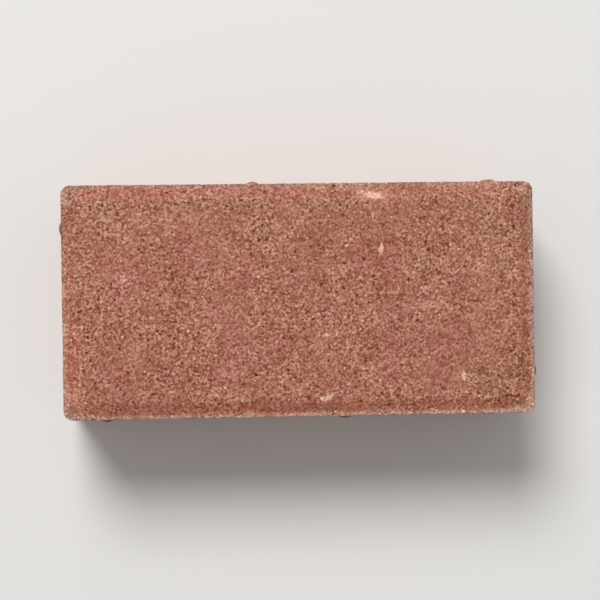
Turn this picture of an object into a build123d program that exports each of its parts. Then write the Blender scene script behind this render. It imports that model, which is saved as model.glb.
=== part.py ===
from build123d import *
import math
import os

# A concrete paving stone: one pressed block with a flat bedding face, a chamfered wearing face
# and a ring of spacer nibs that keep the joint open to its neighbours.
# Millimetres. The origin is the centre of the bedding face, +X runs along the length and +Z up
# to the wearing face.

# Laying grid: the stone and its joint fill this rectangle, and two widths make one length
LAYING_LENGTH = 200.0
LAYING_WIDTH = 100.0
JOINT = 2.0
THICKNESS = 60.0
CORNER_RADIUS = 4.0

# Edge of the wearing face, from the side of the block inwards
ARRIS_RADIUS = 0.5
LAND_WIDTH = 1.8
LAND_CORNER_RADIUS = 2.2
CHAMFER_WIDTH = 5.0
CHAMFER_DEPTH = 2.2
FACE_CORNER_RADIUS = 2.5

# Spacer nibs: upright round ribs, the same way round on every side
NIB_CHORD = 7.0
NIB_PROJECTION = 1.5
NIB_SETBACK = 18.0
NIB_HEAD_LENGTH = 10.0
NIB_HEAD_PROJECTION = 0.9
NIB_TOP_DROP = 2.0
NIB_TIP_RADIUS = 0.4

# Sizes that follow
body_length = LAYING_LENGTH - JOINT
body_width = LAYING_WIDTH - JOINT
land_height = THICKNESS - CHAMFER_DEPTH
face_inset = LAND_WIDTH + CHAMFER_WIDTH
nib_top = land_height - NIB_TOP_DROP
nib_head_start = nib_top - NIB_HEAD_LENGTH


def plan_outline(inset, corner_radius, height):
    """The block's rounded outline, drawn in by an inset on every side, at a height."""
    outline = RectangleRounded(body_length - 2 * inset, body_width - 2 * inset, corner_radius)
    return Pos(0, 0, height) * outline


def pressed_block():
    """The upright sides up to the land, with the arris between side and land worn round."""
    block = extrude(plan_outline(0, CORNER_RADIUS, 0), amount=land_height)
    arris = block.faces().sort_by(Axis.Z)[-1].edges()
    return fillet(arris, ARRIS_RADIUS)


def chamfered_crown():
    """The part above the land: a shallow slope on all four sides up to the flat wearing face."""
    slope_foot = plan_outline(LAND_WIDTH, LAND_CORNER_RADIUS, land_height)
    wearing_face = plan_outline(face_inset, FACE_CORNER_RADIUS, THICKNESS)
    return loft([slope_foot, wearing_face], ruled=True)


def spacer_nib():
    """One nib at the origin: its outer side faces +Y, and Y = 0 is the side of the block."""
    half_chord = NIB_CHORD / 2
    rib_radius = (half_chord**2 + NIB_PROJECTION**2) / (2 * NIB_PROJECTION)
    axis_depth = rib_radius - NIB_PROJECTION
    tip_radius = axis_depth + NIB_HEAD_PROJECTION
    rib = extrude(Circle(rib_radius), amount=nib_head_start)
    head = Pos(0, 0, nib_head_start) * Cone(
        rib_radius, tip_radius, NIB_HEAD_LENGTH, align=(Align.CENTER, Align.CENTER, Align.MIN)
    )
    nib = rib + head
    nib = fillet(nib.edges().sort_by(Axis.Z)[-1], NIB_TIP_RADIUS)
    return Pos(0, -axis_depth, 0) * nib


def nibs_along_side(side_length, laying_length, outward_angle, side_distance):
    """One nib for each laying width, counted back from the corner that comes next clockwise."""
    count = int(laying_length // LAYING_WIDTH)
    turn = Rot(0, 0, outward_angle - 90)
    places = [side_length / 2 - NIB_SETBACK - number * LAYING_WIDTH for number in range(count)]
    return [turn * Pos(place, side_distance, 0) * spacer_nib() for place in places]


def paving_stone():
    """The whole stone, one solid."""
    stone = pressed_block() + chamfered_crown()
    for half_turn in (0, 180):
        stone += nibs_along_side(body_length, LAYING_LENGTH, 90 + half_turn, body_width / 2)
        stone += nibs_along_side(body_width, LAYING_WIDTH, half_turn, body_length / 2)
    return stone


os.makedirs("parts", exist_ok=True)
stone = paving_stone()
export_step(stone, "parts/paving_stone.step")

reach = stone.bounding_box().size
slope_angle = math.degrees(math.atan2(CHAMFER_DEPTH, CHAMFER_WIDTH))
print(f"stone {reach.X:.2f} x {reach.Y:.2f} x {reach.Z:.2f} with its nibs")
print(f"solids {len(stone.solids())}, slope {slope_angle:.1f} degrees")
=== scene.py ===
import math
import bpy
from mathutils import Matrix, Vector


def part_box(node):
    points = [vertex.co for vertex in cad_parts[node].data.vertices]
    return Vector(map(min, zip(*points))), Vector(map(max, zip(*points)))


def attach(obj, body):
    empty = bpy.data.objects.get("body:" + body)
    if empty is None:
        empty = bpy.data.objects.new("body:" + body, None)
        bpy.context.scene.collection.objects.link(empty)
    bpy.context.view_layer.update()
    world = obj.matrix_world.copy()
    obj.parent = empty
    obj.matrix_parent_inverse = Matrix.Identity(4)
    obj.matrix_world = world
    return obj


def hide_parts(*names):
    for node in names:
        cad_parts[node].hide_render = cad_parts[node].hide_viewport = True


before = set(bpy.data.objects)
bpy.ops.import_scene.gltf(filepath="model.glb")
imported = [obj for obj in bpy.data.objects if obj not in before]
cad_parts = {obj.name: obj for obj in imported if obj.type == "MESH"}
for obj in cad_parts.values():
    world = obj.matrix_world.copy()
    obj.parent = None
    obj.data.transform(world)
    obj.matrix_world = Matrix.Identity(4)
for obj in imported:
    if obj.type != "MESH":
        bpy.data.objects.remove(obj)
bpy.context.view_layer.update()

from types import SimpleNamespace

import bmesh
import bpy
import numpy as np
from mathutils import Matrix, Vector

MM = 0.001
STONE_NODE = "paving_stone"

# Sizes of the stone in millimetres, the same as the solid's
CORNER_RADIUS = 4.0
ARRIS_RADIUS = 0.5
LAND_WIDTH = 1.8
CHAMFER_WIDTH = 5.0
CHAMFER_DEPTH = 2.2
NIB_CHORD = 7.0
NIB_PROJECTION = 1.5
NIB_SETBACK = 18.0
NIB_PITCH = 100.0
NIBS_ON_LONG_SIDE = 2
NIB_HEAD_LENGTH = 10.0
NIB_HEAD_PROJECTION = 0.9
NIB_TOP_DROP = 2.0

stone_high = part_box(STONE_NODE)[1]
half_length = stone_high.x / MM - NIB_PROJECTION
half_width = stone_high.y / MM - NIB_PROJECTION
thickness = stone_high.z / MM
land_height = thickness - CHAMFER_DEPTH
side_top = land_height - ARRIS_RADIUS
nib_top = land_height - NIB_TOP_DROP
nib_head_start = nib_top - NIB_HEAD_LENGTH
face_inset = LAND_WIDTH + CHAMFER_WIDTH

# How far the edges of the crown run into each other, in millimetres
CREST_ROUNDING = 0.45
FOOT_ROUNDING = 0.25
MITRE_ROUNDING = 4.0

# Grid of the skin in millimetres: lines in from the outline, and lines down from the top of the sides,
# of which the last two are at the top of the nibs and just under it
EDGE_LINES = (0.0, 0.15, 0.5, 1.15, 1.8, 2.4, 3.2, CORNER_RADIUS)
FACE_PITCH = 0.66
NIB_TOP_LINE = NIB_TOP_DROP - ARRIS_RADIUS
NIB_STEP = 0.25
SIDE_TOP_LINES = (0.5, 1.1, NIB_TOP_LINE, NIB_TOP_LINE + NIB_STEP)
SIDE_PITCH = 1.4
BASE_BORDER = 2.6

# A length too small to see, for divisions and for telling which points lie on a side
TINY = 1e-6


def smooth_min(a, b, reach):
    """The smaller of two values, rounded where they are within a reach of each other."""
    reach = np.maximum(reach, TINY)
    near = np.maximum(reach - np.abs(a - b), 0) / reach
    return np.minimum(a, b) - near**2 * reach / 4


def smooth_max(a, b, reach):
    """The larger of two values, rounded where they are within a reach of each other."""
    return -smooth_min(-a, -b, reach)


def crown_height(inset):
    """Height of the wearing side at a distance in from the outline: arris, land, slope, face."""
    slope = CHAMFER_DEPTH * (inset - LAND_WIDTH) / CHAMFER_WIDTH
    crown = smooth_min(smooth_max(slope, 0, FOOT_ROUNDING), CHAMFER_DEPTH, CREST_ROUNDING)
    into_arris = np.clip(ARRIS_RADIUS - inset, 0, ARRIS_RADIUS)
    arris_drop = ARRIS_RADIUS - np.sqrt(ARRIS_RADIUS**2 - into_arris**2)
    return land_height + crown - arris_drop


def lines_across(half):
    """Grid lines across the stone: close together at the edges and even in between."""
    middle = half - CORNER_RADIUS
    count = 2 * round(middle / FACE_PITCH)
    even = np.linspace(-middle, middle, count + 1)[1:-1]
    edge = half - np.array(EDGE_LINES)
    return np.concatenate([-edge, even, edge[::-1]])


def side_heights():
    """Heights of the rings of points down the sides: close together at the top and even below."""
    upper = [side_top - line for line in SIDE_TOP_LINES]
    even_count = round(upper[-1] / SIDE_PITCH)
    return upper + list(np.linspace(upper[-1], 0, even_count + 1)[1:])


def round_corners(x, y):
    """Moves the points of a square-cornered grid so that its last lines run round the corners."""
    middle_x, middle_y = half_length - CORNER_RADIUS, half_width - CORNER_RADIUS
    past_x, past_y = np.abs(x) - middle_x, np.abs(y) - middle_y
    in_corner = (past_x > 0) & (past_y > 0)
    reach = np.maximum(past_x, past_y)
    turn = math.pi / 4 * np.minimum(past_x, past_y) / np.maximum(reach, TINY)
    along, across = reach * np.cos(turn), reach * np.sin(turn)
    moved_x = np.sign(x) * (middle_x + np.where(past_x >= past_y, along, across))
    moved_y = np.sign(y) * (middle_y + np.where(past_x >= past_y, across, along))
    return np.where(in_corner, moved_x, x), np.where(in_corner, moved_y, y)


def nib_bulge(distance, height):
    """How far a nib stands out of the side, at a distance along the side from the nib's middle."""
    half_chord = NIB_CHORD / 2
    rib_radius = (half_chord**2 + NIB_PROJECTION**2) / (2 * NIB_PROJECTION)
    axis_depth = rib_radius - NIB_PROJECTION
    taper = np.clip((height - nib_head_start) / NIB_HEAD_LENGTH, 0, 1)
    radius = rib_radius - taper * (NIB_PROJECTION - NIB_HEAD_PROJECTION)
    bulge = np.sqrt(np.maximum(radius**2 - distance**2, 0)) - axis_depth
    return np.where((height < nib_top) & (np.abs(distance) < radius), np.maximum(bulge, 0), 0)


def add_nibs(x, y, height):
    """Moves the points of the sides out where a nib is: the nibs run the same way round the stone."""
    for sign in (1, -1):
        for number in range(NIBS_ON_LONG_SIDE):
            place = sign * (half_length - NIB_SETBACK - number * NIB_PITCH)
            on_side = sign * y > half_width - TINY
            y = y + sign * np.where(on_side, nib_bulge(x - place, height), 0)
        place = -sign * (half_width - NIB_SETBACK)
        on_end = sign * x > half_length - TINY
        x = x + sign * np.where(on_end, nib_bulge(y - place, height), 0)
    return x, y


def border_of_grid(grid):
    """The numbers of a grid's border points, once round against the clock from its first corner."""
    return np.concatenate([grid[0, :-1], grid[:-1, -1], grid[-1, :0:-1], grid[:0:-1, 0]])


def faces_of_grid(grid):
    """Quads between the points of a grid, facing up."""
    corners = (grid[:-1, :-1], grid[:-1, 1:], grid[1:, 1:], grid[1:, :-1])
    return np.stack([corner.ravel() for corner in corners], axis=1).tolist()


class Skin:
    """The stone's closed skin while it is made, in millimetres."""

    def __init__(self):
        # A row for each point: x, y, height, how far past the arris, and how far a nib lifts it
        self.rows = np.empty((0, 5))
        self.faces = []

    def add_points(self, x, y, height, past_arris, nib_rise=0.0):
        """Adds a grid or a ring of points, and returns their numbers in the same layout."""
        columns = np.broadcast_arrays(x, y, height, past_arris, nib_rise)
        rows = np.stack([column.ravel() for column in columns], axis=1)
        first = len(self.rows)
        self.rows = np.concatenate([self.rows, rows])
        return first + np.arange(len(rows)).reshape(columns[0].shape)


def add_wearing_side(skin):
    """The arris, land, slope and face as one grid. Returns its border points."""
    square_x, square_y = np.meshgrid(lines_across(half_length), lines_across(half_width))
    inset_x, inset_y = half_length - np.abs(square_x), half_width - np.abs(square_y)
    mitre = np.clip(np.minimum(inset_x, inset_y) - ARRIS_RADIUS, 0, MITRE_ROUNDING)
    inset = smooth_min(inset_x, inset_y, mitre)
    x, y = round_corners(square_x, square_y)
    grid = skin.add_points(x, y, crown_height(inset), inset)
    skin.faces += faces_of_grid(grid)
    return border_of_grid(grid)


def add_sides(skin, border):
    """Rings of points down the sides, pushed out at the nibs. Returns the lowest ring."""
    x, y = skin.rows[border, :2].T
    above = border
    for height in side_heights():
        nib_x, nib_y = add_nibs(x, y, height)
        nib_rise = np.hypot(nib_x - x, nib_y - y)
        below = skin.add_points(nib_x, nib_y, height, height - side_top, nib_rise)
        quads = np.stack([np.roll(above, -1), above, below, np.roll(below, -1)], axis=1)
        skin.faces += quads.tolist()
        above = below
    return above


def add_bedding_face(skin, ring):
    """A flat grid with half as many lines each way, joined to the lowest ring by a strip of triangles."""
    base_x = lines_across(half_length)[::2] * (1 - BASE_BORDER / half_length)
    base_y = lines_across(half_width)[::2] * (1 - BASE_BORDER / half_width)
    grid = skin.add_points(*np.meshgrid(base_x, base_y), 0.0, -side_top)
    skin.faces += [quad[::-1] for quad in faces_of_grid(grid)]
    here = border_of_grid(grid)
    after = np.roll(here, -1)
    near, middle, far = ring[::2], ring[1::2], np.roll(ring[::2], -1)
    triangles = (here, middle, near, here, after, middle, after, far, middle)
    skin.faces += np.stack(triangles, axis=1).reshape(-1, 3).tolist()


def stone_mesh():
    """The skin as a smooth mesh in metres, with its faces pointing out."""
    skin = Skin()
    border = add_wearing_side(skin)
    lowest_ring = add_sides(skin, border)
    add_bedding_face(skin, lowest_ring)

    mesh = bpy.data.meshes.new("stone_skin")
    x, y, height, past_arris, nib_rise = skin.rows.T
    mesh.from_pydata((np.stack([x, y, height], axis=1) * MM).tolist(), [], skin.faces)
    for name, values in (("past_arris", past_arris), ("nib_rise", nib_rise)):
        kept = mesh.attributes.new(name, "FLOAT", "POINT")
        kept.data.foreach_set("value", values.astype(np.float32))
    shaped = bmesh.new()
    shaped.from_mesh(mesh)
    bmesh.ops.recalc_face_normals(shaped, faces=shaped.faces)
    shaped.to_mesh(mesh)
    shaped.free()
    mesh.shade_smooth()
    return mesh


# Node trees, written as sums of numbers and points that vary over the surface

NUMBER = "NodeSocketFloat"
POINT = "NodeSocketVector"
COLOUR = "NodeSocketColor"
GEOMETRY = "NodeSocketGeometry"

# Where a Mix node has its share, its two colours and their mix
MIX_SHARE, MIX_FIRST, MIX_SECOND = 0, 6, 7
MIX_RESULT = 2

# What noise and random tones vary about
MIDDLE = 0.5


def plain_value(socket, value):
    """A plain value as a socket holds it: one number fills a point, and a colour is opaque."""
    if socket.type == "VECTOR" and isinstance(value, (int, float)):
        return (value, value, value)
    if socket.type == "RGBA":
        return (*value, 1.0)
    return value


def feed(socket, value):
    """Links a socket to a field or another node's output, or sets it to a plain value."""
    source = value.output if isinstance(value, Field) else value
    if isinstance(source, bpy.types.NodeSocket):
        socket.id_data.links.new(source, socket)
    else:
        socket.default_value = plain_value(socket, source)


def add_node(tree, kind, feeds=None, **settings):
    """A node with its settings, and what feeds its inputs, by name or number."""
    node = tree.nodes.new(kind)
    for name, value in settings.items():
        setattr(node, name, value)
    for key, value in (feeds or {}).items():
        feed(node.inputs[key], value)
    return node


class Field:
    """A number that varies over the surface. Arithmetic on it adds nodes to its tree."""

    math_node = "ShaderNodeMath"

    def __init__(self, output):
        self.output = output
        self.tree = output.id_data

    def calc(self, operation, *terms):
        """One step of arithmetic."""
        node = add_node(self.tree, self.math_node, dict(enumerate(terms)), operation=operation)
        return type(self)(node.outputs[0])

    def __add__(self, other):
        return self.calc("ADD", self, other)

    def __radd__(self, other):
        return self.calc("ADD", other, self)

    def __sub__(self, other):
        return self.calc("SUBTRACT", self, other)

    def __rsub__(self, other):
        return self.calc("SUBTRACT", other, self)

    def __mul__(self, other):
        return self.calc("MULTIPLY", self, other)

    def __truediv__(self, other):
        return self.calc("DIVIDE", self, other)

    def __rtruediv__(self, other):
        return self.calc("DIVIDE", other, self)

    def __pow__(self, other):
        return self.calc("POWER", self, other)

    def __abs__(self):
        return self.calc("ABSOLUTE", self)

    def __gt__(self, other):
        return self.calc("GREATER_THAN", self, other)

    def __lt__(self, other):
        return self.calc("LESS_THAN", self, other)

    def ramp(self, start, end, low=0.0, high=1.0):
        """A soft step: low at start, high at end."""
        feeds = dict(enumerate((self, start, end, low, high)))
        node = add_node(self.tree, "ShaderNodeMapRange", feeds, interpolation_type="SMOOTHSTEP")
        return Field(node.outputs[0])

    def between(self, low, high):
        """For a mask: low where it is 0, high where it is 1."""
        return self.ramp(0.0, 1.0, low, high)


class Point(Field):
    """A place, a direction or a colour that varies over the surface."""

    math_node = "ShaderNodeVectorMath"

    def parts(self):
        """Its three numbers."""
        node = add_node(self.tree, "ShaderNodeSeparateXYZ", {0: self})
        return [Field(output) for output in node.outputs]

    def length(self):
        """How far it is from the origin."""
        node = add_node(self.tree, self.math_node, {0: self}, operation="LENGTH")
        return Field(node.outputs["Value"])


def larger(a, b):
    """The larger of a field and another field or number."""
    return a.calc("MAXIMUM", a, b)


def by_name(outputs):
    """A node's outputs by name: its numbers and points as fields, the rest as they are."""
    kinds = {"VALUE": Field, "VECTOR": Point, "RGBA": Point}
    named = {}
    for output in outputs:
        named[output.name] = kinds[output.type](output) if output.type in kinds else output
    return named


def new_tree(name, kind, inputs, outputs):
    """A node tree and its inputs by name. An input is a kind of socket, or the number it starts from."""
    tree = bpy.data.node_groups.new(name, kind)
    for key, value in inputs.items():
        if isinstance(value, float):
            tree.interface.new_socket(key, in_out="INPUT", socket_type=NUMBER).default_value = value
        else:
            tree.interface.new_socket(key, in_out="INPUT", socket_type=value)
    for key, socket_kind in outputs.items():
        tree.interface.new_socket(key, in_out="OUTPUT", socket_type=socket_kind)
    return tree, by_name(add_node(tree, "NodeGroupInput").outputs)


def use_group(tree, group, feeds):
    """What a group puts out by name, placed in a tree with its own values."""
    return by_name(add_node(tree, "ShaderNodeGroup", feeds, node_tree=group).outputs)


def in_millimetres(place):
    """A point in millimetres from a point in metres."""
    return place * (1 / MM)


def noise_outputs(place, size, detail=2.0, roughness=0.5):
    """Soft random variation whose blotches are about a size across, in millimetres."""
    feeds = {"Vector": place, "Scale": 1 / size, "Detail": detail, "Roughness": roughness}
    return by_name(add_node(place.tree, "ShaderNodeTexNoise", feeds).outputs)


def noise(place, *pattern):
    """Soft random variation about one half. A pattern is a size, a detail and a roughness."""
    return noise_outputs(place, *pattern)["Fac"]


def unevenness(place, *pattern):
    """Soft random variation about zero."""
    return noise(place, *pattern) - MIDDLE


def warped(place, size, amount):
    """A point pushed about by noise, so that what is drawn from it gets uneven outlines."""
    return place + (noise_outputs(place, size)["Color"] - MIDDLE) * amount


def cells(place, size):
    """Random cells: the distance from a cell's middle as a share of their size, and three chances."""
    node = add_node(place.tree, "ShaderNodeTexVoronoi", {"Vector": place, "Scale": 1 / size})
    found = by_name(node.outputs)
    return found["Distance"], found["Color"].parts()


# What the relief and the finish share

# How far a nib lifts the side where its skin starts to be rubbed, and where it is rubbed throughout
RUBBED_RISE = (0.5, 1.3)

# Drag lines that the mould leaves on the sides: their width, and how much they are drawn out in height
DRAG_WIDTH = 1.7
DRAG_STRETCH = 0.07

# Chips: the size and amount of their unevenness, and where their hollow and their colour start and
# are full, as shares of the way from a chip's middle to its rim
CHIP_UNEVENNESS = (1.6, 1.3)
CHIP_HOLLOW = (1.3, 0.5)
CHIP_COLOUR = (1.1, 0.5)

# Marks of this stone: pale aggregate laid bare by small chips.
# Each has its middle (x, y), length, width, turn in degrees and paleness.
CHIP_MARKS = {
    "crest chip": ((31.4, 43.5), 8.4, 3.4, -4.0, 0.58),
    "crest chip tail": ((26.0, 44.9), 4.4, 2.0, 10.0, 0.30),
    "crest stain": ((31.0, 43.2), 19.0, 6.0, -2.0, 0.16),
    "slope chip": ((9.4, -41.3), 4.0, 2.8, 10.0, 1.0),
    "slope chip tail": ((12.2, -40.2), 4.8, 1.9, 26.0, 0.5),
    "long grain": ((34.2, 20.9), 6.2, 2.4, 82.0, 1.0),
    "corner grain": ((68.4, -32.5), 5.2, 2.4, 84.0, 0.62),
    "end grain": ((-90.4, -10.0), 2.6, 2.2, 60.0, 0.6),
    "second end grain": ((-84.6, -12.8), 2.4, 2.0, 20.0, 0.5),
    "middle grain": ((11.1, -14.8), 4.8, 1.7, 8.0, 0.62),
    "upper grain": ((-73.1, 24.7), 1.8, 1.6, 0.0, 0.5),
    "left grain": ((-28.0, 11.7), 2.2, 1.7, 40.0, 0.5),
}


def drag_lines(place):
    """Noise drawn out up and down."""
    return noise(place * (1.0, 1.0, DRAG_STRETCH), DRAG_WIDTH)


def chip_distance(place, middle, length, width, turn):
    """Distance from a chip's middle, where 1 is its rim."""
    feeds = {"Vector": place - (*middle, 0.0), "Angle": -math.radians(turn)}
    node = add_node(place.tree, "ShaderNodeVectorRotate", feeds, rotation_type="Z_AXIS")
    return (Point(node.outputs[0]) * (2 / length, 2 / width, 0.0)).length()


def chip_field(place, rim, heart):
    """A mask of all the chips: nothing from the rim out, and each chip's paleness at its heart."""
    ragged = warped(place, *CHIP_UNEVENNESS)
    return sum(
        chip_distance(ragged, middle, length, width, turn).ramp(rim, heart, 0.0, paleness)
        for middle, length, width, turn, paleness in CHIP_MARKS.values()
    )


# Relief of the pressed concrete, in millimetres

RELIEF_SIZES = {
    "Grit Size": 1.6,
    "Grit Depth": 0.6,
    "Pit Spacing": 6.5,
    "Pit Depth": 0.6,
    "Wave Depth": 0.16,
    "Void Spacing": 4.2,
    "Void Depth": 1.0,
    "Drag Depth": 0.26,
    "Rim Wear": 0.35,
    "Base Wear": 0.6,
    "Chip Depth": 0.45,
}

# Where each part of the skin starts and ends: past the arris, above the base, or, for the bedding
# face, by how far up the skin faces
TOP_ZONE = (-0.6, 0.3)
ARRIS_ZONE = (1.6, 0.0)
BASE_ZONE = (2.4, 0.0)
BEDDING_ZONE = (-0.4, -0.8)

# Open concrete, where less paste fills the grit. It lies in drifts and patches, given as a size, a
# detail and a roughness of noise, and in a band just inside the crest.
OPEN_DRIFTS = (26.0, 3.0)
OPEN_PATCHES = (5.0, 2.0)
DRIFT_SHARE = 0.6
CREST_BAND = face_inset + 1.6
CREST_REACH = 3.4
CREST_OPENNESS = 0.045
OPEN_RANGE = (0.40, 0.60)

# Grit: the detail and roughness of its noise, the level of its tops, and how deep it is in closed and
# open concrete and on the land
GRIT_TEXTURE = (1.5, 0.6)
GRIT_TOPS = 0.62
GRIT_DEPTHS = (0.7, 1.2)
GRIT_ON_LAND = 0.5

# Pits and voids: the largest and smallest radius, how scarce large ones are, the size and amount of
# their unevenness, how tall voids are drawn, and where a hollow's floor starts as a share of its radius
PIT_RADII = {"largest": 1.3, "scarcity": 3.0}
PIT_UNEVENNESS = (2.0, 0.8)
VOID_RADII = {"largest": 1.7, "scarcity": 2.2}
VOID_UNEVENNESS = (2.5, 1.8)
VOID_STRETCH = 0.75
SMALLEST_RADIUS = 0.05
HOLLOW_FLOOR = 0.4

# Drag marks, cut off at the level of their tops: how deep they are from shallow to deep patches
DRAG_TOPS = 0.6
DRAG_PATCHES = (0.35, 0.6)
DRAG_DEPTHS = (0.4, 1.2)

# Waves in the whole skin, what is left of the relief where the nibs are rubbed, and crumbled edges
WAVES = (32.0, 1.0)
RUBBED_RELIEF = 0.3
CRUMBLE = (2.2, 3.0, 0.7)
CRUMBLED = (0.42, 0.75)


def relief_zones(place, normal, past_arris):
    """Masks of the wearing side, the arris, the sides, their bottom edge and the bedding face."""
    height = place.parts()[2]
    facing_up = normal.parts()[2]
    top = past_arris.ramp(*TOP_ZONE)
    bedding = facing_up.ramp(*BEDDING_ZONE)
    side = 1.0 - top - bedding
    arris = abs(past_arris).ramp(*ARRIS_ZONE)
    base = height.ramp(*BASE_ZONE) * side
    return SimpleNamespace(top=top, arris=arris, side=side, base=base, bedding=bedding)


def open_concrete(place, past_arris, patches):
    """A mask of where less paste fills the grit."""
    from_crest = abs(past_arris - CREST_BAND)
    openness = noise(place, *OPEN_DRIFTS) * DRIFT_SHARE + patches * (1 - DRIFT_SHARE)
    openness = openness + from_crest.ramp(CREST_REACH, 0.0, 0.0, CREST_OPENNESS)
    return openness.ramp(*OPEN_RANGE)


def round_hollows(place, spacing, largest, scarcity):
    """Round hollows in random cells: most are small, and 1 is the bottom of each."""
    distance, chances = cells(place, spacing)
    radius = chances[0] ** scarcity * largest + SMALLEST_RADIUS
    return (distance * spacing / radius).ramp(1.0, HOLLOW_FLOOR)


def grit_relief(place, is_open, given):
    """Hollows between the grains of grit."""
    below_tops = larger(GRIT_TOPS - noise(place, given["Grit Size"], *GRIT_TEXTURE), 0.0)
    return below_tops * given["Grit Depth"] * is_open.between(*GRIT_DEPTHS)


def pit_relief(place, given):
    """Scattered pits in the wearing side."""
    uneven = warped(place, *PIT_UNEVENNESS)
    return round_hollows(uneven, given["Pit Spacing"], **PIT_RADII) * given["Pit Depth"]


def void_relief(place, given):
    """Voids between coarse grains, a little taller than wide."""
    uneven = warped(place, *VOID_UNEVENNESS) * (1.0, 1.0, VOID_STRETCH)
    return round_hollows(uneven, given["Void Spacing"], **VOID_RADII) * given["Void Depth"]


def drag_relief(place, patches, given):
    """Drag marks from the mould, deeper in patches."""
    grooves = larger(DRAG_TOPS - drag_lines(place), 0.0)
    return grooves * given["Drag Depth"] * patches.ramp(*DRAG_PATCHES, *DRAG_DEPTHS)


def relief_depth(place, normal, past_arris, nib_rise, given):
    """The whole relief: how deep the skin is pressed in, its hollows alone, and where it is open."""
    zones = relief_zones(place, normal, past_arris)
    patches = noise(place, *OPEN_PATCHES)
    is_open = open_concrete(place, past_arris, patches)

    # The wearing side has grit and pits, the bedding face grit and voids, and the sides drag marks too
    grit = grit_relief(place, is_open, given)
    void = void_relief(place, given)
    on_face = past_arris.ramp(LAND_WIDTH, face_inset, GRIT_ON_LAND, 1.0)
    top_relief = (grit + pit_relief(place, given)) * on_face * zones.top
    rubbed = nib_rise.ramp(*RUBBED_RISE, 1.0, RUBBED_RELIEF)
    side_relief = ((void + grit) * rubbed + drag_relief(place, patches, given)) * zones.side
    hollow = top_relief + side_relief + (void + grit) * zones.bedding

    # The arris crumbles a little, and the bottom edge more
    chip = chip_field(place, *CHIP_HOLLOW) * given["Chip Depth"] * zones.top
    wave = noise(place, *WAVES) * given["Wave Depth"]
    crumble = noise(place, *CRUMBLE).ramp(*CRUMBLED)
    rim_wear = crumble * zones.arris * given["Rim Wear"]
    base_wear = crumble * zones.base * given["Base Wear"]
    depth = (hollow + chip) + (wave + rim_wear) + base_wear
    return depth, hollow, is_open


def relief_tree(material):
    """Geometry nodes that press the relief into the stone's skin and cover it with a material."""
    tree, given = new_tree(
        "pressed_concrete_relief", "GeometryNodeTree",
        {"Geometry": GEOMETRY, **RELIEF_SIZES}, {"Geometry": GEOMETRY},
    )
    place = in_millimetres(Point(add_node(tree, "GeometryNodeInputPosition").outputs[0]))
    normal = Point(add_node(tree, "GeometryNodeInputNormal").outputs[0])
    past_arris, nib_rise = (
        Field(add_node(tree, "GeometryNodeInputNamedAttribute", {"Name": name}).outputs[0])
        for name in ("past_arris", "nib_rise")
    )
    depth, hollow, is_open = relief_depth(place, normal, past_arris, nib_rise, given)
    feeds = {"Geometry": given["Geometry"], "Offset": normal * (depth * -MM)}
    pressed = add_node(tree, "GeometryNodeSetPosition", feeds)
    # The hollows' depth is kept so that the material can darken them as painted shade with some dirt
    for name, value in (("hollow", hollow), ("openness", is_open)):
        feeds = {"Geometry": pressed.outputs[0], "Name": name, "Value": value}
        pressed = add_node(tree, "GeometryNodeStoreNamedAttribute", feeds)
    real = add_node(tree, "GeometryNodeRealizeInstances", {"Geometry": pressed.outputs[0]})
    feeds = {"Geometry": real.outputs[0], "Material": material}
    covered = add_node(tree, "GeometryNodeSetMaterial", feeds)
    add_node(tree, "NodeGroupOutput", {0: covered.outputs[0]})
    return tree


# Grains and pores

# Sand grains: size in millimetres, share of bare ones and unevenness, and the shape of a grain and
# of its bare core as shares of the size
GRAIN_SIZE = 0.9
BARE_GRAINS = 0.04
GRAIN_UNEVENNESS = (1.5, 0.5)
GRAIN_ROUNDING = (0.85, 0.0)
BARE_CORE = (0.6, 0.3)

# Pores: size in millimetres, share of cells with one in closed and open concrete, what is left of
# that share on the slope and land, and a pore's radius and edge as shares of the size
PORE_SIZE = 1.7
PORE_SHARES = (0.12, 0.42)
PORES_IN_PASTE = 0.25
PORE_SHIFT = (31.0, 17.0, 5.0)
PORE_UNEVENNESS = (1.2, 0.7)
PORE_RADII = (0.22, 0.5)
PORE_EDGE = (1.15, 0.35)


def sand_grain_group():
    """Sand grains set in paste: a tone for each grain, its rounded height and a mask of bare grains."""
    tree, given = new_tree(
        "sand_grain", "ShaderNodeTree",
        {"Place": POINT, "Grain Size": NUMBER, "Bare Share": NUMBER},
        {"Tone": NUMBER, "Height": NUMBER, "Bare": NUMBER},
    )
    distance, chances = cells(warped(given["Place"], *GRAIN_UNEVENNESS), given["Grain Size"])
    bare = (chances[1] > 1.0 - given["Bare Share"]) * distance.ramp(*BARE_CORE)
    feeds = {"Tone": chances[0], "Height": distance.ramp(*GRAIN_ROUNDING), "Bare": bare}
    add_node(tree, "NodeGroupOutput", feeds)
    return tree


def open_pore_group():
    """Small open pores between the grains, as a mask: a share of the cells have one."""
    tree, given = new_tree(
        "open_pore", "ShaderNodeTree",
        {"Place": POINT, "Pore Size": NUMBER, "Share": NUMBER}, {"Pore": NUMBER},
    )
    distance, chances = cells(warped(given["Place"] + PORE_SHIFT, *PORE_UNEVENNESS), given["Pore Size"])
    inside = (distance / chances[1].between(*PORE_RADII)).ramp(*PORE_EDGE)
    add_node(tree, "NodeGroupOutput", {"Pore": (chances[0] < given["Share"]) * inside})
    return tree


# Colours

FACE_RED = (0.391, 0.149, 0.104)
FACE_BROWN = (0.393, 0.177, 0.112)
SLOPE_RED = (0.380, 0.148, 0.100)
# Painted shade: the slope's deeper red, used towards the side away from the lamp
SLOPE_RED_PAINTED_SHADE = (0.417, 0.140, 0.080)
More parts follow.
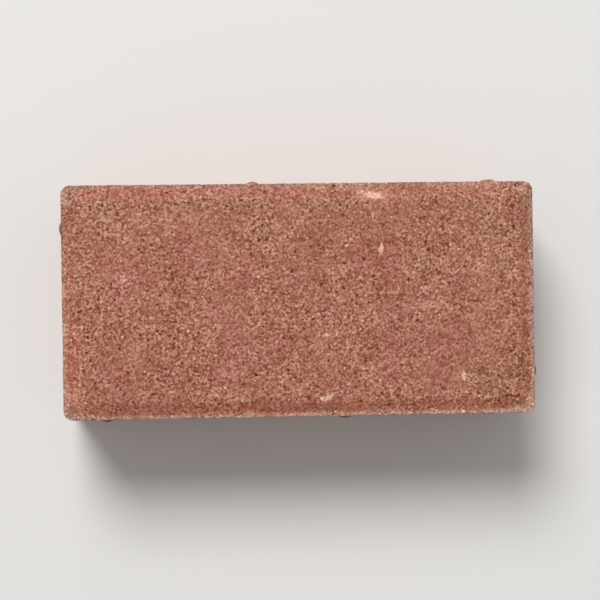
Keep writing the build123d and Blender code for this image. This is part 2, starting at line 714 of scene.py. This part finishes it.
# Painted light and shade on the land: the paler colour, towards the side away from the lamp, is the pale
# rim with painted light; the duller colour, towards the lit far side, is the grey rim with painted shade
LAND_PALE_PAINTED_LIGHT = (0.515, 0.280, 0.215)
LAND_DULL_PAINTED_SHADE = (0.368, 0.198, 0.147)
CHIP_BUFF = (0.820, 0.500, 0.365)
SIDE_RED = (0.36, 0.155, 0.112)

# The darkest that a step may make a colour, and the power between light and what the eye sees
DARKEST = (0.03, 0.02, 0.015)
EYE_POWER = 2.2

# Where the finishes start and are full, in millimetres past the arris
SIDE_EDGE = (0.2, -1.2)
LAND_OUTER_EDGE = (-1.0, 0.0)
SLOPE_FOOT = (LAND_WIDTH - 0.6, LAND_WIDTH + 0.8)
LAND_INNER_EDGE = SLOPE_FOOT[::-1]
SLOPE_CREST = (face_inset + 1.4, face_inset - 2.2)
CHIP_EDGE = (-0.5, 0.2)

# How the borders of the land and the crest wander: the noise, and how far from side to side
LAND_WANDER = (4.0,)
LAND_WANDERING = 2.4
CREST_WANDER = (7.0, 3.0)
CREST_WANDERING = 6.0

# Corners: how near both sides they start and are full, how much further in the pale rim reaches
# there, and the least of it that shows there
CORNER_ZONE = (15.0, 5.0)
CORNER_WEAR = 1.7
CORNER_COVER = 0.72

# Brown concrete: the part in it of drifts, of open concrete, and of the far and right-hand edges, where
# it starts and is full, and the same for those edges in millimetres from the middle
BROWN_DRIFTS = (14.0, 3.0, 0.6)
BROWN_IN_DRIFTS = 0.8
BROWN_IN_OPEN = 0.22
BROWN_AT_EDGES = 0.16
BROWN_RANGE = (0.34, 0.84)
FAR_SIDE = (16.0, 42.0)
RIGHT_END = (60.0, 90.0)

# Painted light and shade by side: towards the near side, away from the lamp, the slope is a deeper red as
# painted shade and the land paler as painted light, but half as much at the left end; towards the far side
# the land is duller, as painted shade
NEAR_SIDE = (46.0, -46.0)
LEFT_END = (4 - half_length, 10 - half_length, 0.5, 1.0)

# How much of the slope's and the land's own colour shows, in patches
SLOPE_PATCHES = (22.0, 2.0)
SLOPE_COVER = (0.3, 0.65, 0.35, 1.0)
LAND_PATCHES = (9.0, 2.0)
LAND_COVER = (0.3, 0.6, 0.45, 1.0)


def raised(colour, power):
    """A colour with each channel raised to a power."""
    return Point(add_node(colour.tree, "ShaderNodeGamma", {"Color": colour, "Gamma": power}).outputs[0])


def lighten_group():
    """Lightens or darkens a colour by the same step in every channel, as the eye sees steps."""
    tree, given = new_tree(
        "lighten", "ShaderNodeTree",
        {"Colour": COLOUR, "Step": NUMBER}, {"Colour": COLOUR},
    )
    seen = raised(given["Colour"], 1 / EYE_POWER)
    stepped = larger(seen + given["Step"], DARKEST)
    add_node(tree, "NodeGroupOutput", {"Colour": raised(stepped, EYE_POWER)})
    return tree


def mix_colour(share, first, second):
    """Two colours mixed by a share."""
    feeds = {MIX_SHARE: share, MIX_FIRST: first, MIX_SECOND: second}
    return Point(add_node(share.tree, "ShaderNodeMix", feeds, data_type="RGBA").outputs[MIX_RESULT])


def finish_zones(place, past_arris):
    """Masks of the land, the slope, both of them, the sides and the corners."""
    x, y, _ = place.parts()
    corner = larger(half_length - abs(x), half_width - abs(y)).ramp(*CORNER_ZONE)
    land_band = past_arris + unevenness(place, *LAND_WANDER) * LAND_WANDERING - corner * CORNER_WEAR
    crest_band = past_arris + unevenness(place, *CREST_WANDER) * CREST_WANDERING
    slope = land_band.ramp(*SLOPE_FOOT) * crest_band.ramp(*SLOPE_CREST)
    land = land_band.ramp(*LAND_INNER_EDGE) * past_arris.ramp(*LAND_OUTER_EDGE)
    side = past_arris.ramp(*SIDE_EDGE)
    return SimpleNamespace(land=land, slope=slope, pasty=larger(slope, land), side=side, corner=corner)


def brown_share(place, openness):
    """How brown the face is: redder where paste covers the grit, browner where it is open."""
    x, y, _ = place.parts()
    at_edges = larger(y.ramp(*FAR_SIDE), x.ramp(*RIGHT_END))
    drifts = noise(place, *BROWN_DRIFTS)
    brown = drifts * BROWN_IN_DRIFTS + openness * BROWN_IN_OPEN + at_edges * BROWN_AT_EDGES
    return brown.ramp(*BROWN_RANGE)


def concrete_colour(place, zones, past_arris, brown):
    """The colours of face, slope, land, sides and chips, laid one over the other, with painted light and
    shade by side on the slope and land.
    """
    x, y, _ = place.parts()
    near = y.ramp(*NEAR_SIDE) * x.ramp(*LEFT_END)
    slope_cover = noise(place, *SLOPE_PATCHES).ramp(*SLOPE_COVER)
    land_cover = larger(noise(place, *LAND_PATCHES).ramp(*LAND_COVER), zones.corner * CORNER_COVER)
    chips = chip_field(place, *CHIP_COLOUR) * past_arris.ramp(*CHIP_EDGE)
    colour = mix_colour(brown, FACE_RED, FACE_BROWN)
    # Painted shade: the slope turns a deeper red towards the side away from the lamp
    colour = mix_colour(zones.slope * slope_cover, colour, mix_colour(near, SLOPE_RED, SLOPE_RED_PAINTED_SHADE))
    # Painted light and shade: the land is paler towards the side away from the lamp and duller towards the
    # lit far side
    colour = mix_colour(zones.land * land_cover, colour, mix_colour(near, LAND_DULL_PAINTED_SHADE, LAND_PALE_PAINTED_LIGHT))
    colour = mix_colour(zones.side, colour, SIDE_RED)
    return mix_colour(chips, colour, CHIP_BUFF)


# Tones and texture

# Steps of light and dark, where 1 is from black to white
SPECKLE_STEP = 0.55
GRAIN_STEP = 0.22
BARE_STEP = 0.15
# Pores are darkened as painted shade
PORE_PAINTED_SHADE_STEP = -0.17
# Hollows are darkened by their depth: painted shade, with some dirt
HOLLOW_SHADE_AND_DIRT_STEP = -0.25
STREAK_STEP = 0.17
RUBBED_STEP = 0.05
OPEN_STEP = 0.015
BROAD_STEP = 0.12
MOTTLE_STEP = 0.10

# Noise behind the steps: size in millimetres, detail and roughness
SPECKLE = (1.05, 2.0, 0.5)
BROAD_TONES = (21.0, 2.0)
MOTTLE = (6.5, 2.0)

# How strong the grains' steps are in closed and open concrete, on the slope and land, and on the sides
OPEN_CONTRASTS = (0.83, 1.17)
PASTE_CONTRAST = 0.95
SIDE_CONTRAST = 0.65

# Bump: the grains' part in its height, what is left of it on sides and nibs, its strength and its depth
GRAIN_HEIGHT = 0.5
SMOOTHED_BUMP = 0.7
BUMP_STRENGTH = 0.7
BUMP_DEPTH = 0.2 * MM

# Roughness of red and brown concrete, and the gloss of both
ROUGHNESSES = (0.84, 0.93)
GLOSS = 0.3


def grain_texture(place, zones, openness):
    """Sand grains, pores and speckle: their step of light and dark, in which the pores' darkening is
    painted shade, and their height.
    """
    pore_share = openness.between(*PORE_SHARES) * zones.pasty.between(1.0, PORES_IN_PASTE)
    grain_feeds = {"Place": place, "Grain Size": GRAIN_SIZE, "Bare Share": BARE_GRAINS}
    pore_feeds = {"Place": place, "Pore Size": PORE_SIZE, "Share": pore_share}
    grain = use_group(place.tree, sand_grain_group(), grain_feeds)
    pore = use_group(place.tree, open_pore_group(), pore_feeds)["Pore"]
    speckle = unevenness(place, *SPECKLE)
    step = speckle * SPECKLE_STEP + (grain["Tone"] - MIDDLE) * GRAIN_STEP
    # The pores' darkening is painted shade
    step = step + grain["Bare"] * BARE_STEP + pore * PORE_PAINTED_SHADE_STEP
    step = step * openness.between(*OPEN_CONTRASTS) * zones.pasty.between(1.0, PASTE_CONTRAST)
    step = step * zones.side.between(1.0, SIDE_CONTRAST)
    return step, grain["Height"] * GRAIN_HEIGHT - pore + speckle


def red_concrete():
    """Pigmented concrete: worn wearing face, paste-rich slope, pale land and moulded sides."""
    material = bpy.data.materials.new("red_concrete")
    material.use_nodes = True
    tree = material.node_tree
    place = in_millimetres(Point(add_node(tree, "ShaderNodeTexCoord").outputs["Object"]))
    past_arris, hollow, openness, nib_rise = (
        Field(add_node(tree, "ShaderNodeAttribute", attribute_name=name).outputs["Fac"])
        for name in ("past_arris", "hollow", "openness", "nib_rise")
    )
    zones = finish_zones(place, past_arris)
    brown = brown_share(place, openness)
    colour = concrete_colour(place, zones, past_arris, brown)
    rubbed = nib_rise.ramp(*RUBBED_RISE)
    streak = (drag_lines(place) - MIDDLE) * zones.side
    step, height = grain_texture(place, zones, openness)
    # Hollows darken by their depth as painted shade with some dirt
    step = step + hollow * HOLLOW_SHADE_AND_DIRT_STEP + streak * STREAK_STEP + rubbed * RUBBED_STEP + openness * OPEN_STEP
    step = step + unevenness(place, *BROAD_TONES) * BROAD_STEP + unevenness(place, *MOTTLE) * MOTTLE_STEP
    shaded = use_group(tree, lighten_group(), {"Colour": colour, "Step": step})["Colour"]
    height = height * larger(zones.side, rubbed).between(1.0, SMOOTHED_BUMP)
    bump_feeds = {"Height": height, "Strength": BUMP_STRENGTH, "Distance": BUMP_DEPTH}

    surface = tree.nodes["Principled BSDF"].inputs
    feed(surface["Base Color"], shaded)
    feed(surface["Roughness"], brown.between(*ROUGHNESSES))
    feed(surface["Normal"], add_node(tree, "ShaderNodeBump", bump_feeds).outputs[0])
    feed(surface["Specular IOR Level"], GLOSS)
    return material


# The stone


def add_object(name, data):
    """A new object at the origin of the scene."""
    made = bpy.data.objects.new(name, data)
    bpy.context.scene.collection.objects.link(made)
    return made


def pressed_mesh(concrete):
    """The skin with its relief pressed in, as one plain mesh."""
    rough = add_object("stone_form", stone_mesh())
    tree = relief_tree(concrete)
    press = rough.modifiers.new("relief", "NODES")
    press.node_group = tree
    for item in tree.interface.items_tree:
        if item.in_out == "INPUT" and item.name in RELIEF_SIZES:
            press[item.identifier] = RELIEF_SIZES[item.name]
    bpy.context.view_layer.update()
    evaluated = rough.evaluated_get(bpy.context.evaluated_depsgraph_get())
    mesh = bpy.data.meshes.new_from_object(evaluated)
    mesh.name = "stone_skin_pressed"
    bpy.data.objects.remove(rough)
    return mesh


def paving_stone():
    """The whole stone, which is one piece."""
    stone = add_object("stone", pressed_mesh(red_concrete()))
    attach(stone, "root")
    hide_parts(STONE_NODE)


# Surroundings, in metres

FLOOR_SIZE = 12.0
FLOOR_COLOUR = (0.80, 0.79, 0.77)
FLOOR_ROUGHNESS = 0.9
FLOOR_FADE = (0.20, 1.30)
BACKGROUND = (0.86, 0.85, 0.84)
WORLD_COLOUR = (1.0, 0.99, 0.98)
WORLD_LIGHT = 0.35

# The lamp: how far up it stands, how far to the left of the far side, its distance, size and power
LAMP_ELEVATION = math.radians(50)
LAMP_TURN = math.radians(20)
LAMP_DISTANCE = 4.0
LAMP_SIZE = 1.9
LAMP_POWER = 135.0

# The camera: how wide its frame is at the wearing face, and how it stands over the stone
PHOTO_FRAME = 0.250
CAMERA_DISTANCE = 0.73
CAMERA_LEAN = math.radians(3.3)
CAMERA_ROLL = math.radians(0.8)


def seen_directly(tree):
    """1 for rays from the camera, a reflection or glass, and 0 for rays that light things."""
    rays = by_name(add_node(tree, "ShaderNodeLightPath").outputs)
    return larger(rays["Is Camera Ray"], larger(rays["Is Glossy Ray"], rays["Is Transmission Ray"]))


def pale_floor():
    """A plain pale floor that keeps the stone's shadow and fades into the background further out."""
    material = bpy.data.materials.new("pale_floor")
    material.use_nodes = True
    tree = material.node_tree
    matt = tree.nodes["Principled BSDF"]
    feed(matt.inputs["Base Color"], FLOOR_COLOUR)
    feed(matt.inputs["Roughness"], FLOOR_ROUGHNESS)
    from_stone = Point(add_node(tree, "ShaderNodeTexCoord").outputs["Object"]).length()
    faded = from_stone.ramp(*FLOOR_FADE) * seen_directly(tree)
    plain = add_node(tree, "ShaderNodeEmission", {"Color": BACKGROUND, "Strength": 1.0})
    feeds = {0: faded, 1: matt.outputs[0], 2: plain.outputs[0]}
    mixed = add_node(tree, "ShaderNodeMixShader", feeds)
    feed(tree.nodes["Material Output"].inputs["Surface"], mixed.outputs[0])

    mesh = bpy.data.meshes.new("floor")
    half = FLOOR_SIZE / 2
    corners = [(-half, -half, 0), (half, -half, 0), (half, half, 0), (-half, half, 0)]
    mesh.from_pydata(corners, [], [(0, 1, 2, 3)])
    mesh.materials.append(material)
    floor = add_object("floor", mesh)


def key_lamp():
    """A soft lamp above and beyond the stone, a little to the left."""
    lamp = bpy.data.lights.new("key", "AREA")
    lamp.shape = "DISK"
    lamp.size = LAMP_SIZE
    lamp.energy = LAMP_POWER
    key = add_object("key", lamp)
    flat = math.cos(LAMP_ELEVATION)
    direction = Vector((-flat * math.sin(LAMP_TURN), flat * math.cos(LAMP_TURN), math.sin(LAMP_ELEVATION)))
    key.location = direction * LAMP_DISTANCE
    key.rotation_euler = direction.to_track_quat("Z", "Y").to_euler()


def pale_world():
    """Even light from all round, and the plain background that the camera sees."""
    world = bpy.data.worlds.new("studio")
    world.use_nodes = True
    tree = world.node_tree
    lighting = tree.nodes["Background"]
    feed(lighting.inputs["Color"], WORLD_COLOUR)
    feed(lighting.inputs["Strength"], WORLD_LIGHT)
    shown = add_node(tree, "ShaderNodeBackground", {"Color": BACKGROUND, "Strength": 1.0})
    feeds = {0: seen_directly(tree), 1: lighting.outputs[0], 2: shown.outputs[0]}
    mixed = add_node(tree, "ShaderNodeMixShader", feeds)
    feed(tree.nodes["World Output"].inputs["Surface"], mixed.outputs[0])
    bpy.context.scene.world = world


def photo_camera():
    """Looks almost straight down, leaning a little from the left, turned a little clockwise."""
    data = bpy.data.cameras.new("camera")
    data.sensor_fit = "HORIZONTAL"
    data.angle = 2 * math.atan(PHOTO_FRAME / 2 / CAMERA_DISTANCE)
    camera = add_object("camera", data)
    target = Vector((0, 0, thickness * MM))
    away = Vector((-math.sin(CAMERA_LEAN), 0, math.cos(CAMERA_LEAN)))
    right = Vector((math.cos(CAMERA_LEAN), 0, math.sin(CAMERA_LEAN)))
    up = away.cross(right)
    turn = Matrix.Rotation(-CAMERA_ROLL, 3, away)
    axes = Matrix((turn @ right, turn @ up, away)).transposed()
    camera.matrix_world = Matrix.Translation(target + away * CAMERA_DISTANCE) @ axes.to_4x4()
    bpy.context.scene.camera = camera


photo_camera()
key_lamp()
pale_world()
pale_floor()
paving_stone()
bpy.context.scene.view_settings.view_transform = "Standard"
